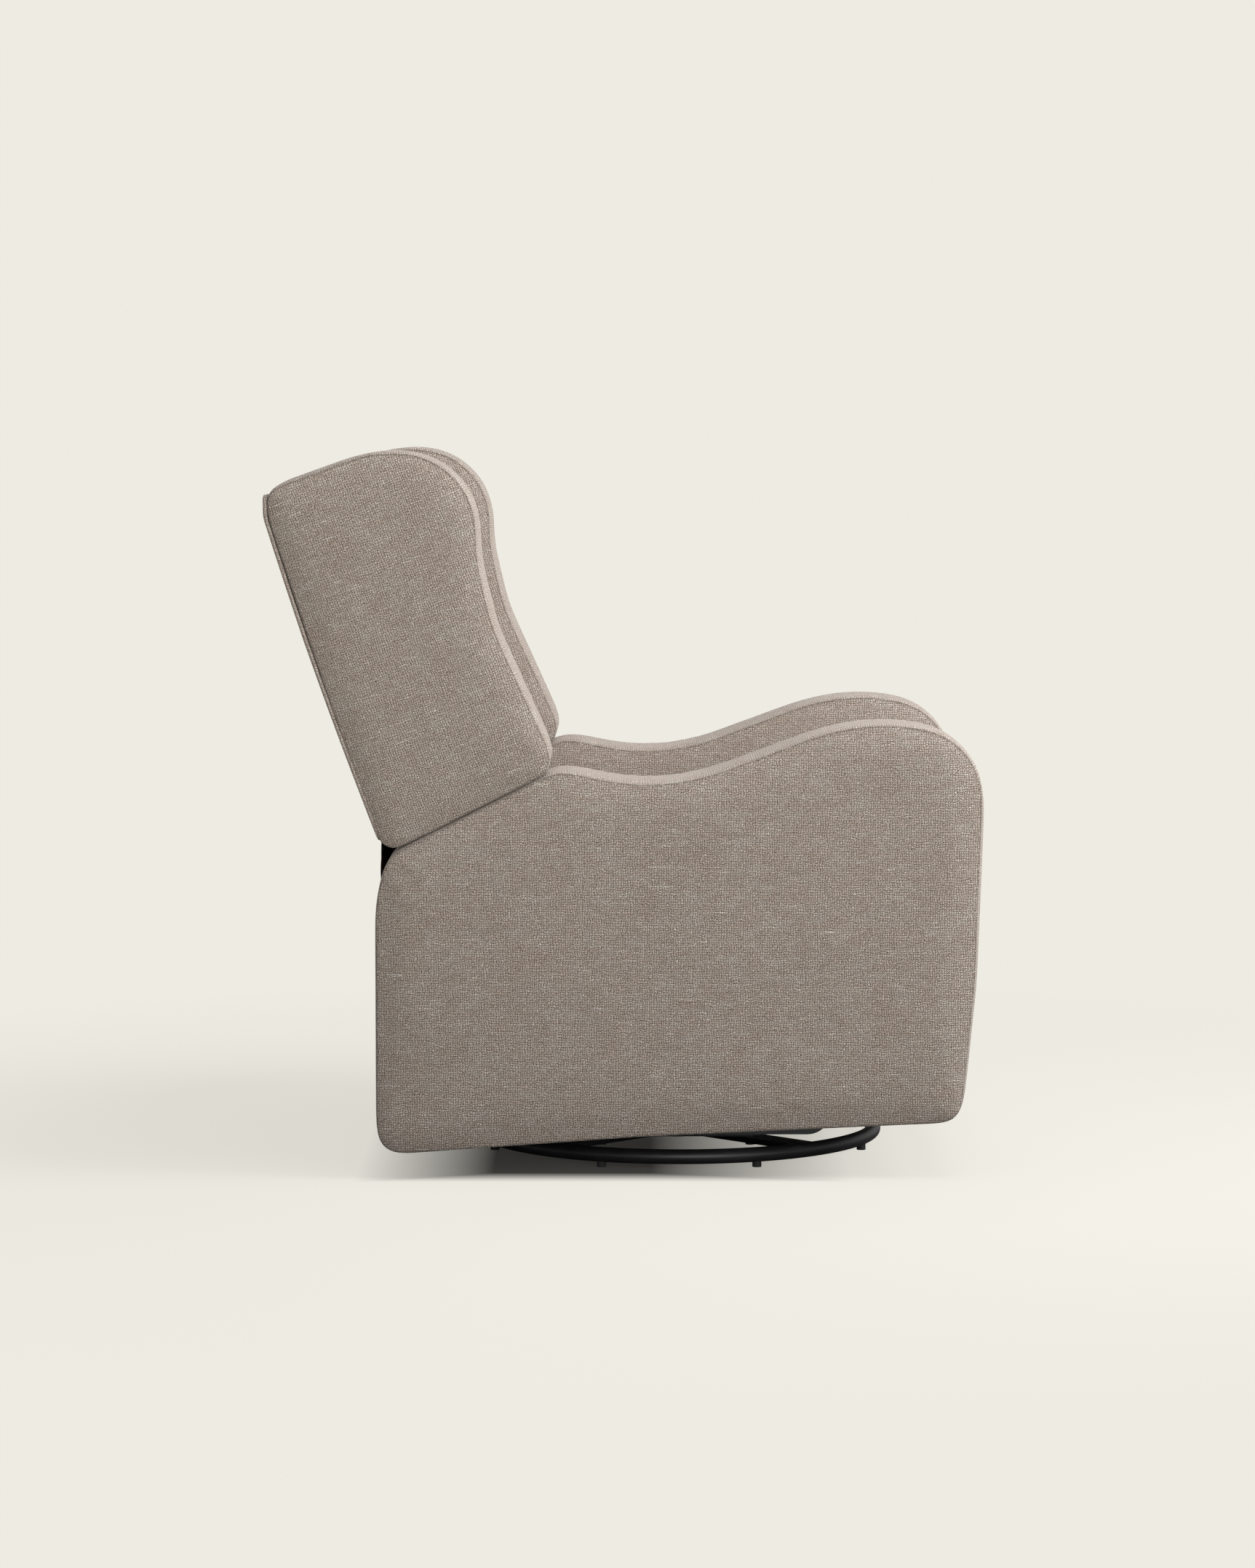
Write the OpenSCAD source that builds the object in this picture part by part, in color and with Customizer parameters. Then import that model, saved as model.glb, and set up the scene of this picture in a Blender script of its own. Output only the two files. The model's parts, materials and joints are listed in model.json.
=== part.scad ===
// Swivel glider recliner chair with a wing back and curved track arms.
// Frame: front is -Y, the sitter's right is -X, up is +Z. The origin is on the swivel axis, on the floor.
// Side outlines are lists of [y, z, corner radius], read as [Y, Z] and extruded along X.

/* [Overall] */
// Width over both arms
chair_w = 760; // [740:2:780]
// Thickness of each arm and each wing
arm_t = 118; // [112:1:122]

/* [Arms] */
// Front of the arms, ahead of the swivel axis
arm_front = 417; // [411:1:421]
// Rear of the arms, behind the swivel axis
arm_rear = 419; // [417:1:423]
// Height of the arm's front crown corner
arm_crown_z = 611; // [600:1:622]
// Height of the lowest point of the arm's dip corner
arm_dip_z = 535; // [528:1:540]

/* [Back] */
// Height of the wings' top edge
wing_top_z = 1001; // [985:1:1015]
// How far back the top of the back leans, behind the swivel axis
wing_top_y = 573; // [566:1:580]
// Thickness of the outer back panel
outer_back_t = 6; // [5:0.5:8]

/* [Seat] */
// Height of the seat cushion's front top edge
seat_z = 478; // [470:1:488]
// Height of the seat cushion's underside
seat_bottom_z = 349; // [349:1:352]

/* [Base] */
// Centre-line radius of the base ring
ring_r = 286; // [280:1:288]
// Diameter of the ring tube
tube_d = 21; // [19:0.5:21.5]
// Height of the ring's centre-line
ring_z = 17.5; // [17:0.5:18.5]

/* [Glide] */
// Length of a glide link, pivot to pivot
link_len = 150; // [146:1:152]
// Distance of the front and rear glide pivots from the swivel axis
glide_y = 110; // [106:1:112]

/* [Footrest] */
// Length of a footrest crank, pivot to pivot
crank_len = 114; // [110:1:116]
// Height of the footrest pad
pad_h = 228; // [220:1:230]

/* [Hidden] */
$fn = 64;

half_w = chair_w / 2;
inner_x = half_w - arm_t;          // inner face of the arms and wings
gap = 0.5;                         // clearance between neighbouring soft pieces
pin_r = 5;                         // every pivot pin of the linkages
run = 0.06;                        // running clearance of a pin in its bore

steel_black = [0.06, 0.06, 0.07];
steel_grey = [0.22, 0.23, 0.25];
zinc = [0.7, 0.7, 0.7];
plywood = [0.76, 0.6, 0.4];
taupe = [0.6, 0.55, 0.5];

// Unit vector along v
function unit(v) = v / norm(v);

// Arc of radius r that rounds the corner p between its neighbours a and b
function corner(a, p, b, r, n) =
    let(u = unit(a - p), v = unit(b - p), half = acos(u * v) / 2,
        c = p + unit(u + v) * r / sin(half),
        s = p + u * r / tan(half) - c, e = p + v * r / tan(half) - c,
        a0 = atan2(s.y, s.x), turn = (atan2(e.y, e.x) - a0 + 540) % 360 - 180)
    [for (i = [0:n]) c + r * [cos(a0 + turn * i / n), sin(a0 + turn * i / n)]];

// Closed outline with every corner rounded by its own radius
function rounded(v, n = 8) =
    [for (i = [0:len(v) - 1])
        let(a = v[(i + len(v) - 1) % len(v)], p = v[i], b = v[(i + 1) % len(v)])
        each corner([a.x, a.y], [p.x, p.y], [b.x, b.y], p.z, n)];

// Side outline v extruded from x0 to x1
module side(v, x0, x1, n = 8) {
    translate([x0, 0, 0]) rotate([90, 0, 90]) linear_extrude(x1 - x0) polygon(rounded(v, n));
}

// Children and their mirror image on the other side of the chair
module both() {
    children();
    mirror([1, 0, 0]) children();
}

// Cylinder along X at [y, z], from x0 to x1
module rod(p, r, x0, x1) {
    translate([x0, p.x, p.y]) rotate([0, 90, 0]) cylinder(r = r, h = x1 - x0);
}

// Box from its low corner to its high corner
module box(lo, hi) {
    translate(lo) cube(hi - lo);
}

// Flat bar or plate of width w round its [y, z] pivots, bored with radius bore at each
module link(pivots, w, x0, x1, bore) {
    difference() {
        hull() for (p = pivots) rod(p, w / 2, x0, x1, $fn = 32);
        for (p = pivots) rod(p, bore, x0 - 1, x1 + 1);
    }
}

// ---- base: ring, cross bars and swivel bearing ----
foot_r = 6.5;
foot_count = 8;
bar_w = 40;
bar_z = [12, 20];                  // underside and top of the cross bars
mount_t = 4;
mount_half = 116;                  // half side of the square bearing plate
bolt_at = 104;                     // base bolts at [+-104, +-104], on the bars' centre-lines
bolt_r = 5;
race_r = 81;                       // ball track radius
race_w = 22;
ball_r = 4;
ball_count = 24;
track_z = 34;
race_z = [bar_z[1] + mount_t, track_z + 10];
spindle_r = 9;
spindle_head_t = 8;
plate_t = 4;
plate_r = 104;

module ring_tube(r) {
    translate([0, 0, ring_z]) rotate_extrude($fn = 128) translate([ring_r, 0]) circle(r);
}

module base_ring() {
    color(steel_black) difference() {
        ring_tube(tube_d / 2);
        ring_tube(tube_d / 2 - 1.8);
    }
}

module cross_bar(turn) {
    reach = ring_r - tube_d / 2 + 4;
    rotate([0, 0, turn]) difference() {
        box([-reach, -bar_w / 2, bar_z[0]], [reach, bar_w / 2, bar_z[1]]);
        for (x = [-1, 1])
            translate([x * bolt_at * sqrt(2), 0, bar_z[0] - 1]) cylinder(r = bolt_r + 0.3, h = 20);
    }
}

module cross_bar_long() {
    color(steel_black) difference() {
        cross_bar(45);
        ring_tube(tube_d / 2);
        cylinder(r = spindle_r + 0.1, h = 30);
    }
}

module cross_bar_split() {
    color(steel_black) difference() {
        cross_bar(-45);
        ring_tube(tube_d / 2);
        rotate([0, 0, 45]) box([-60, -bar_w / 2, 0], [60, bar_w / 2, 30]);
    }
}

module at_base_bolts() {
    for (x = [-1, 1], y = [-1, 1]) translate([x * bolt_at, y * bolt_at, 0]) children();
}

module bearing_mount_plate() {
    color(steel_black) difference() {
        translate([0, 0, bar_z[1]]) linear_extrude(mount_t)
            polygon(rounded([[-mount_half, -mount_half, 12], [mount_half, -mount_half, 12],
                             [mount_half, mount_half, 12], [-mount_half, mount_half, 12]], 6));
        at_base_bolts() translate([0, 0, bar_z[1] - 1]) cylinder(r = bolt_r + 0.3, h = mount_t + 2);
        translate([0, 0, bar_z[1] - 1]) cylinder(r = spindle_r + 0.1, h = mount_t + 2);
    }
}

module base_bolts() {
    color(zinc) at_base_bolts() {
        translate([0, 0, bar_z[0] - 5]) cylinder(r = 8, h = 5, $fn = 6);
        translate([0, 0, bar_z[0] - 1]) cylinder(r = bolt_r, h = 22);
    }
}

module base_nuts() {
    color(zinc) at_base_bolts() difference() {
        translate([0, 0, race_z[0]]) cylinder(r = 9, h = 6, $fn = 6);
        translate([0, 0, race_z[0] - 1]) cylinder(r = bolt_r + 0.05, h = 9);
    }
}

// One bearing ring from z0 to z1 with its share of the ball track
module race(z0, z1) {
    difference() {
        rotate_extrude() translate([race_r - race_w / 2, z0]) square([race_w, z1 - z0]);
        rotate_extrude() translate([race_r, track_z]) circle(ball_r + 0.1);
    }
}

module lower_race() {
    color(steel_grey) race(race_z[0], track_z - 0.4);
}

module upper_race() {
    color(steel_grey) race(track_z + 0.4, race_z[1]);
}

module bearing_balls() {
    color(zinc) for (i = [0:ball_count - 1])
        rotate([0, 0, 360 * i / ball_count]) translate([race_r, 0, track_z]) sphere(ball_r);
}

// Centre bolt with its head under the long cross bar and a collar on the mount plate
module swivel_spindle() {
    color(zinc) {
        translate([0, 0, bar_z[0] - 1]) cylinder(r = spindle_r, h = race_z[1] + plate_t + 15 - bar_z[0]);
        translate([0, 0, bar_z[0] - spindle_head_t]) cylinder(r = 16, h = spindle_head_t);
        translate([0, 0, race_z[0]]) cylinder(r = 16, h = 5);
    }
}

module spindle_nut() {
    z = race_z[1] + plate_t + 0.5;
    color(zinc) difference() {
        union() {
            translate([0, 0, z]) cylinder(r = 20, h = 2);
            translate([0, 0, z + 2]) cylinder(r = 16, h = 9, $fn = 6);
        }
        translate([0, 0, z - 1]) cylinder(r = spindle_r, h = 14);
    }
}

module base_glides() {
    color(steel_black) for (i = [0:foot_count - 1])
        rotate([0, 0, 360 * (i + 0.5) / foot_count]) translate([ring_r - 1, 0, 0]) difference() {
            cylinder(r = foot_r, h = ring_z);
            translate([1 - ring_r, 0, 0]) ring_tube(tube_d / 2);
        }
}

// ---- swivel carriage: plate, crossbars and glide stands ----
crossbar_y = 100;
crossbar_w = 36;
carriage_z = race_z[1] + plate_t;  // underside of the crossbars
crossbar_t = 12;
stand_x = [202, 207];
stand_top_z = carriage_z + crossbar_t + 206;
pivot_z = 250;                     // upper glide pivots
link_x = [212, 217];
low_pivot_z = pivot_z - link_len;
stand_half = 128;
flange_w = 34;
flange_t = 4;
stand_bolt_x = 186;

module swivel_plate() {
    color(steel_black) translate([0, 0, race_z[1]]) difference() {
        linear_extrude(plate_t) union() {
            circle(plate_r);
            square([150, 230], center = true);
        }
        translate([0, 0, -1]) cylinder(r = spindle_r + 0.1, h = plate_t + 2);
    }
}

// Steel channel with its open side down, across the chair at y
module crossbar(y) {
    wall = 3;
    difference() {
        box([-stand_x[1], y - crossbar_w / 2, carriage_z],
            [stand_x[1], y + crossbar_w / 2, carriage_z + crossbar_t]);
        box([-stand_x[1] - 1, y - crossbar_w / 2 + wall, carriage_z - 1],
            [stand_x[1] + 1, y + crossbar_w / 2 - wall, carriage_z + crossbar_t - wall]);
        for (x = [-stand_bolt_x, stand_bolt_x])
            translate([x, y, carriage_z]) cylinder(r = 4.2, h = crossbar_t + 1);
    }
}

module swivel_crossbar_front() {
    color(steel_black) crossbar(-crossbar_y);
}

module swivel_crossbar_rear() {
    color(steel_black) crossbar(crossbar_y);
}

// Upright plate on the +X side with a bottom flange turned inwards
module glide_stand() {
    z0 = carriage_z + crossbar_t;
    difference() {
        union() {
            side([[-stand_half, z0, 4], [stand_half, z0, 4], [stand_half, stand_top_z, 18],
                  [-stand_half, stand_top_z, 18]], stand_x[0], stand_x[1]);
            box([stand_x[1] - flange_w, -stand_half, z0], [stand_x[0] + 1, stand_half, z0 + flange_t]);
        }
        for (y = [-glide_y, glide_y])
            rod([y, pivot_z], pin_r, stand_x[0] - 1, stand_x[1] + 1);
        for (y = [-crossbar_y, crossbar_y])
            translate([stand_bolt_x, y, z0 - 1]) cylinder(r = 4.2, h = flange_t + 2);
    }
}

module glide_stand_left() {
    color(steel_black) glide_stand();
}

module glide_stand_right() {
    color(steel_black) mirror([1, 0, 0]) glide_stand();
}

module stand_bolts() {
    z0 = carriage_z + crossbar_t + flange_t;
    color(zinc) for (x = [-stand_bolt_x, stand_bolt_x], y = [-crossbar_y, crossbar_y])
        translate([x, y, 0]) {
            translate([0, 0, z0]) cylinder(r = 7.5, h = 5, $fn = 6);
            translate([0, 0, carriage_z + 1]) cylinder(r = 4, h = z0 - carriage_z);
        }
}

module glide_top_pins() {
    color(zinc) both() for (y = [-glide_y, glide_y]) {
        rod([y, pivot_z], pin_r, stand_x[0], link_x[1] + 1.5);
        rod([y, pivot_z], 9, stand_x[0] - 4, stand_x[0]);
        rod([y, pivot_z], 8.5, stand_x[1], link_x[0] - 1);
    }
}

// ---- glide links ----
bush_r = 8;

module glide_links(y) {
    both() link([[y, low_pivot_z], [y, pivot_z]], 26, link_x[0], link_x[1], bush_r);
}

module link_bushings(y) {
    both() for (z = [low_pivot_z, pivot_z]) difference() {
        rod([y, z], bush_r, link_x[0], link_x[1]);
        rod([y, z], pin_r + run, link_x[0] - 1, link_x[1] + 1);
    }
}

module glide_links_front() {
    color(steel_grey) glide_links(-glide_y);
}

module glide_links_rear() {
    color(steel_grey) glide_links(glide_y);
}

module front_link_bushings() {
    color("white") link_bushings(-glide_y);
}

module rear_link_bushings() {
    color("white") link_bushings(glide_y);
}

// ---- chair body: recliner mechanism frame ----
mech_x = [236, 240];
mech_z = 42;                       // underside of the mechanism plates
tube_y = 208;                      // mechanism cross tubes, ahead of and behind the swivel axis
tube_z = 80;
crank_pivot = [-288, 285];         // front crank's fixed pivot
crank_offset = [52, -30];          // from the front crank's pivots to the rear crank's
recline_pivot = [350, 330];
recline_r = 6;
rail_x = [240, 257];
rail_z = [236, 320];
frame_bolt_y = [-210, -70, 70, 210];
frame_bolt_z = 290;

module mechanism_plate() {
    difference() {
        side([[-203, mech_z, 34], [-236, 118, 30], [-308, 262, 20], [-308, 310, 14], [300, 310, 30],
              [330, 352, 12], [372, 352, 16], [372, 300, 20], [262, mech_z + 70, 40], [225, mech_z, 30]],
             mech_x[0], mech_x[1]);
        for (y = [-glide_y, glide_y])
            rod([y, low_pivot_z], pin_r, mech_x[0] - 1, mech_x[1] + 1);
        rod(crank_pivot, pin_r, mech_x[0] - 1, mech_x[1] + 1);
        rod(crank_pivot + crank_offset, pin_r, mech_x[0] - 1, mech_x[1] + 1);
        rod(recline_pivot, recline_r, mech_x[0] - 1, mech_x[1] + 1);
        for (y = frame_bolt_y) rod([y, frame_bolt_z], 4.2, mech_x[0] - 1, mech_x[1] + 1);
    }
}

module mechanism_plate_left() {
    color(steel_grey) mechanism_plate();
}

module mechanism_plate_right() {
    color(steel_grey) mirror([1, 0, 0]) mechanism_plate();
}

// Hollow cross tube between the mechanism plates
module mechanism_tube(y) {
    difference() {
        rod([y, tube_z], 12, -mech_x[0], mech_x[0]);
        rod([y, tube_z], 10, -mech_x[0] - 1, mech_x[0] + 1);
    }
}

module mechanism_tube_front() {
    color(steel_grey) mechanism_tube(-tube_y);
}

module mechanism_tube_rear() {
    color(steel_grey) mechanism_tube(tube_y);
}

module glide_bottom_pins() {
    color(zinc) both() for (y = [-glide_y, glide_y]) {
        rod([y, low_pivot_z], pin_r, link_x[0] - 1.5, mech_x[1]);
        rod([y, low_pivot_z], 9, link_x[1] + 1, mech_x[0]);
    }
}

crank_x = [229, 233];
connector_x = [223, 227];
bracket_x = [217, 221];
crank_w = 20;
crank_turn = 240;                  // stowed direction of the cranks, from forward towards up
crank_vec = crank_len * [-cos(crank_turn), sin(crank_turn)];
elbow = crank_pivot + crank_vec;
pad_pivot = [-308, 272];           // hinge of the footrest brackets

module footrest_pivot_pins() {
    color(zinc) both() for (p = [crank_pivot, crank_pivot + crank_offset])
        rod(p, pin_r, crank_x[0] - 0.5, mech_x[1]);
}

module recline_pins() {
    color(zinc) both() rod(recline_pivot, recline_r, back_bracket_x[0], mech_x[1]);
}

module seat_side_rails() {
    color(plywood) both() difference() {
        box([rail_x[0], -296, rail_z[0]], [rail_x[1], 268, rail_z[1]]);
        for (y = frame_bolt_y) rod([y, frame_bolt_z], 4.2, rail_x[0] - 1, rail_x[1] + 1);
    }
}

module frame_bolts() {
    color(zinc) both() for (y = frame_bolt_y) {
        rod([y, frame_bolt_z], 4, mech_x[0], rail_x[1]);
        rod([y, frame_bolt_z], 8, mech_x[0] - 5, mech_x[0]);
    }
}

spring_z = 342;                    // underside of the deck cloth, 4 above the seat rails

module seat_rail(y0, y1) {
    box([-rail_x[1], y0, rail_z[1] + 2], [rail_x[1], y1, spring_z - 4]);
}

module seat_rail_front() {
    color(plywood) seat_rail(-348, -300);
}

module seat_rail_rear() {
    color(plywood) seat_rail(224, 272);
}

// Flat zigzag spring of n bends along +Y, from the origin, with bends of radius r and wire width w
module zigzag(n, r, reach, w) {
    for (i = [0:n - 1]) translate([(i % 2 == 0 ? 1 : -1) * reach, (2 * i + 1) * r]) difference() {
        circle(r + w / 2, $fn = 24);
        circle(r - w / 2, $fn = 24);
        translate([(i % 2 == 0 ? -1 : 0) * 2 * r, -2 * r]) square([2 * r, 4 * r]);
    }
    for (i = [0:n]) translate([-reach, 2 * i * r - w / 2]) square([2 * reach, w]);
}

module seat_springs() {
    bends = 14;
    pitch = (248 + 324) / (2 * bends);
    color(zinc) for (x = [-180, -60, 60, 180])
        translate([x, -324, spring_z - 4]) linear_extrude(3.5) zigzag(bends, pitch, 12, 4);
}

module seat_deck() {
    color("dimgray") box([-rail_x[1], -350, spring_z], [rail_x[1], 262, spring_z + 5]);
}

module seat_front_border() {
    color(taupe) side([[-366, 322, 5], [-350.5, 322, 2], [-350.5, 347, 2], [-366, 347, 5]],
                      -rail_x[1], rail_x[1]);
}

module seat_cushion() {
    color(taupe) side([[-383, seat_bottom_z, 22], [-390, seat_z, 36], [203, seat_z - 28, 26],
                       [203, seat_bottom_z, 14]], -rail_x[1], rail_x[1]);
}

// ---- arms and body covers ----
arm_outline = [
    [arm_rear, 34, 26], [arm_rear, 385, 70], [404, 447, 14], [169, 566, 22], [23, arm_dip_z, 300],
    [-248, arm_crown_z + 24.4, 290], [-arm_front, arm_crown_z, 96], [-arm_front + 12, 270, 500],
    [-arm_front + 31, 80, 14], [55, 60, 800]
];
arm_board_outline = [
    [388, 62, 10], [388, 392, 50], [160, 520, 20], [23, arm_dip_z - 38, 300],
    [-238, arm_crown_z - 14, 250], [-arm_front + 32, arm_crown_z - 26, 70], [-arm_front + 45, 100, 10]
];
arm_board_x = [half_w - 80, half_w - 62];

module arm_frame() {
    side(arm_board_outline, arm_board_x[0], arm_board_x[1]);
}

module arm_frame_left() {
    color(plywood) arm_frame();
}

module arm_frame_right() {
    color(plywood) mirror([1, 0, 0]) arm_frame();
}

module arm() {
    difference() {
        side(arm_outline, inner_x, half_w);
        arm_frame();
        box([arm_board_x[0], -arm_front + 45, 0], [arm_board_x[1], 388, 100]);
    }
}

module arm_left() {
    color(taupe) arm();
}

module arm_right() {
    color(taupe) mirror([1, 0, 0]) arm();
}

module rear_panel() {
    color(taupe) side([[404, 40, 3], [392, 338, 3], [405, 338, 6], [418, 38, 6]],
                      2 - inner_x, inner_x - 2);
}

// ---- backrest ----
back_lean = 0.3476;                // backward run of the back per unit of height
back_low = [409, 450];             // a point on the back's rear face
back_bracket_x = [231, 235];
post_x = [188, 230.5];
post_depth = [18, 57];             // rear and front of the posts, forward of the back's rear face
rail_depth = [57.4, 77];

// Y at height z of the plane that lies forward of the back's rear face by depth
function back_y(z, depth) = back_low.x + back_lean * (z - back_low.y) - depth;

wing_outline = [
    [172, 573, 18], [258.7, 763, 200], [281, 857, 200], [281, wing_top_z, 106], [425, wing_top_z, 150],
    [wing_top_y - outer_back_t, 949, 3], [back_y(916, outer_back_t + 1), 916, 25],
    [back_y(456, outer_back_t), 456, 6]
];

module wing() {
    side(wing_outline, inner_x, half_w);
}

module wing_left() {
    color(taupe) wing();
}

module wing_right() {
    color(taupe) mirror([1, 0, 0]) wing();
}

// Panel over the rear of both wings, with a narrower tail that hangs between the brackets
module outer_back() {
    front = outer_back_t - 0.4;
    tail_x = back_bracket_x[0] - 4;
    upper = [[back_y(470, front), 470, 2], [back_y(916, front), 916, 25], [wing_top_y - front, 948, 2],
             [wing_top_y, 943, 3], [back_y(916, 0), 916, 25], [back_y(470, 0), 470, 2]];
    tail = [[back_y(312, front), 312, 2], [back_y(480, front), 480, 2],
            [back_y(480, 0), 480, 2], [back_y(312, 0), 312, 2]];
    color(taupe) {
        side(upper, 1 - half_w, half_w - 1);
        side(tail, -tail_x, tail_x);
    }
}

// Board of the back frame from height z0 to z1, parallel to the back's rear face
module back_board(z0, z1, depth, x0, x1) {
    side([[back_y(z0, depth[1]), z0, 2], [back_y(z1, depth[1]), z1, 2],
          [back_y(z1, depth[0]), z1, 2], [back_y(z0, depth[0]), z0, 2]], x0, x1);
}

module back_posts() {
    color(plywood) both() back_board(316, 925, post_depth, post_x[0], post_x[1]);
}

module back_rails() {
    color(plywood) for (z = [[392, 452], [640, 690], [880, 930]])
        back_board(z[0], z[1], rail_depth, 1 - inner_x, inner_x - 1);
}

module back_springs() {
    bends = 12;
    color(zinc) for (x = [-130, 0, 130]) translate([x, back_y(420, rail_depth[0] - 4.4), 420])
        rotate([90 - atan(back_lean), 0, 0]) linear_extrude(3.5) zigzag(bends, 20, 12, 4);
}

module back_brackets() {
    lower = [recline_pivot.x, recline_pivot.y];
    upper = [back_y(560, 44), 560];
    color(steel_grey) both() difference() {
        hull() {
            rod(lower, 20, back_bracket_x[0], back_bracket_x[1]);
            rod(upper, 16, back_bracket_x[0], back_bracket_x[1]);
        }
        rod(lower, recline_r + run, back_bracket_x[0] - 1, back_bracket_x[1] + 1);
    }
}

// Padding in front of the back frame and over its top
module back_cushion() {
    frame_top = 932;
    color(taupe) side([[208, 358, 14], [208, 470, 40], [402, 984, 55], [555, 940, 6], [555, frame_top, 2],
                       [back_y(frame_top, 79), frame_top, 2], [back_y(358, 79), 358, 12]],
                      gap - inner_x, inner_x - gap);
}

// ---- footrest ----
board_y = [-333, -318];
pad_top = 318;

module footrest_cranks(shift) {
    both() link([crank_pivot + shift, elbow + shift], crank_w, crank_x[0], crank_x[1], pin_r + run);
}

module footrest_cranks_front() {
    color(steel_grey) footrest_cranks([0, 0]);
}

module footrest_cranks_rear() {
    color(steel_grey) footrest_cranks(crank_offset);
}

module footrest_connectors() {
    color(steel_grey) both()
        link([pad_pivot, elbow, elbow + crank_offset], crank_w, connector_x[0], connector_x[1], pin_r);
}

module connector_pins() {
    color(zinc) both() {
        rod(elbow, pin_r, connector_x[0] - 1, crank_x[1] + 1);
        rod(elbow + crank_offset, pin_r, connector_x[0] - 1, crank_x[1] + 1);
        rod(pad_pivot, pin_r, bracket_x[0] - 1, connector_x[1] + 1);
    }
}

module footrest_brackets() {
    back = board_y[1] + 1;
    color(steel_grey) both() difference() {
        union() {
            side([[back, 150, 3], [back, 296, 3], [-297, 286, 8], [-297, 258, 8], [-311, 180, 6]],
                 bracket_x[0], bracket_x[1]);
            box([bracket_x[0] - 22, board_y[1], 160], [bracket_x[1] - 1, back + 2, 286]);
        }
        rod(pad_pivot, pin_r + run, bracket_x[0] - 1, bracket_x[1] + 1);
    }
}

module footrest_board() {
    color(plywood) box([-240, board_y[0], pad_top - pad_h + 8], [240, board_y[1], pad_top - 8]);
}

module footrest_pad() {
    color(taupe) side([[board_y[0] - 55, pad_top, 22], [board_y[0], pad_top, 6],
                       [board_y[0], pad_top - pad_h, 6], [board_y[0] - 53, pad_top - pad_h, 20]],
                      8 - inner_x, inner_x - 8);
}

// ---- release: strap at the sitter's right and its latch ----
tab_y = [-262, -232];
tab_x = [258.2, 259.8];
latch_x = [241, 245];
latch_pivot = [-170, 176];
latch_arm = 66;

module release_tab() {
    z = [160, 520];
    color("dimgray") mirror([1, 0, 0]) {
        box([tab_x[0], tab_y[0], z[0]], [tab_x[1], tab_y[1], z[1]]);
        rod([tab_y[1] - 15, 176], 4, latch_x[1] + 1, tab_x[0] + 0.5);
    }
}

module release_latch() {
    tip = latch_pivot + [-latch_arm, 0];
    nose = latch_pivot + [22, -34];
    color(steel_grey) mirror([1, 0, 0])
        link([latch_pivot, tip, nose], 16, latch_x[0], latch_x[1], 2.5);
}

base_ring();
cross_bar_long();
cross_bar_split();
bearing_mount_plate();
base_bolts();
base_nuts();
lower_race();
bearing_balls();
swivel_spindle();
spindle_nut();
base_glides();
upper_race();
swivel_plate();
swivel_crossbar_front();
swivel_crossbar_rear();
glide_stand_left();
glide_stand_right();
stand_bolts();
glide_top_pins();
glide_links_front();
front_link_bushings();
glide_links_rear();
rear_link_bushings();
mechanism_plate_left();
mechanism_plate_right();
mechanism_tube_front();
mechanism_tube_rear();
glide_bottom_pins();
footrest_pivot_pins();
recline_pins();
seat_side_rails();
seat_rail_front();
seat_rail_rear();
frame_bolts();
seat_springs();
seat_deck();
seat_cushion();
arm_frame_left();
arm_frame_right();
arm_left();
arm_right();
rear_panel();
back_brackets();
back_posts();
back_rails();
back_springs();
wing_left();
wing_right();
back_cushion();
outer_back();
footrest_cranks_front();
footrest_cranks_rear();
footrest_connectors();
connector_pins();
footrest_brackets();
footrest_board();
footrest_pad();
release_tab();
release_latch();
seat_front_border();
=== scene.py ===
"""Swivel glider recliner chair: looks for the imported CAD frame, in metres."""
import json
import math

import bpy
import numpy as np
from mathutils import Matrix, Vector, geometry, noise


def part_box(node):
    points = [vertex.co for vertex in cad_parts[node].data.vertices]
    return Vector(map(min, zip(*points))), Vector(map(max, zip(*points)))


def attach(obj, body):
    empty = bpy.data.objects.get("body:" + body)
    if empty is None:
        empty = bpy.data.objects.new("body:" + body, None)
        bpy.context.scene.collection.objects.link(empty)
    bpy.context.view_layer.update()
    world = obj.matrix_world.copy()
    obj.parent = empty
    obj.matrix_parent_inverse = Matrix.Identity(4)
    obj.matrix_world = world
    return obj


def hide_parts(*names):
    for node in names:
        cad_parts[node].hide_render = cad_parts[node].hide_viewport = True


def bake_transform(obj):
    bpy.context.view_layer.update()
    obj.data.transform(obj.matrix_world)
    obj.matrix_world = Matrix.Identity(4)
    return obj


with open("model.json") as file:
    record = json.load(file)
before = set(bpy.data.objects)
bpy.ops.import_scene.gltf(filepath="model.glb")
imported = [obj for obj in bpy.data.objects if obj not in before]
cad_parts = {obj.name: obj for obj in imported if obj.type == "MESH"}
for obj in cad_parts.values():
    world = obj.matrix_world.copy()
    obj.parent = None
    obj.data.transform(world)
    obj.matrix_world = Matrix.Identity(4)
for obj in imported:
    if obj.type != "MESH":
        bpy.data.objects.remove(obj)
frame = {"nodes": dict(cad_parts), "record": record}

MM = 0.001
SEAM_STEP = 7 * MM                # between the points of a seam
PANEL_STEP = 9 * MM               # between the points of a panel, and the rows of a boxing strip
GROOVE = 2.5 * MM                 # from a seam to the first row beside it
SEAM_INSET = 1 * MM               # of side seams, from the CAD faces that they run along
BACK_LEAN = 0.3476                # backward run of the back per unit of height, as in the CAD
BACK_WAIST = 470 * MM             # height where the outer back's upper panel ends
BACK_BOW = 5 * MM                 # of the back's rear face, halfway up
ARM_SLOPE = math.radians(26.6)    # of the arms' tops, under the wings
BACKGROUND = (0.855, 0.831, 0.761)

nodes = frame["nodes"]
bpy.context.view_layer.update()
BACK_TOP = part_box("outer_back")[1]


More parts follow.
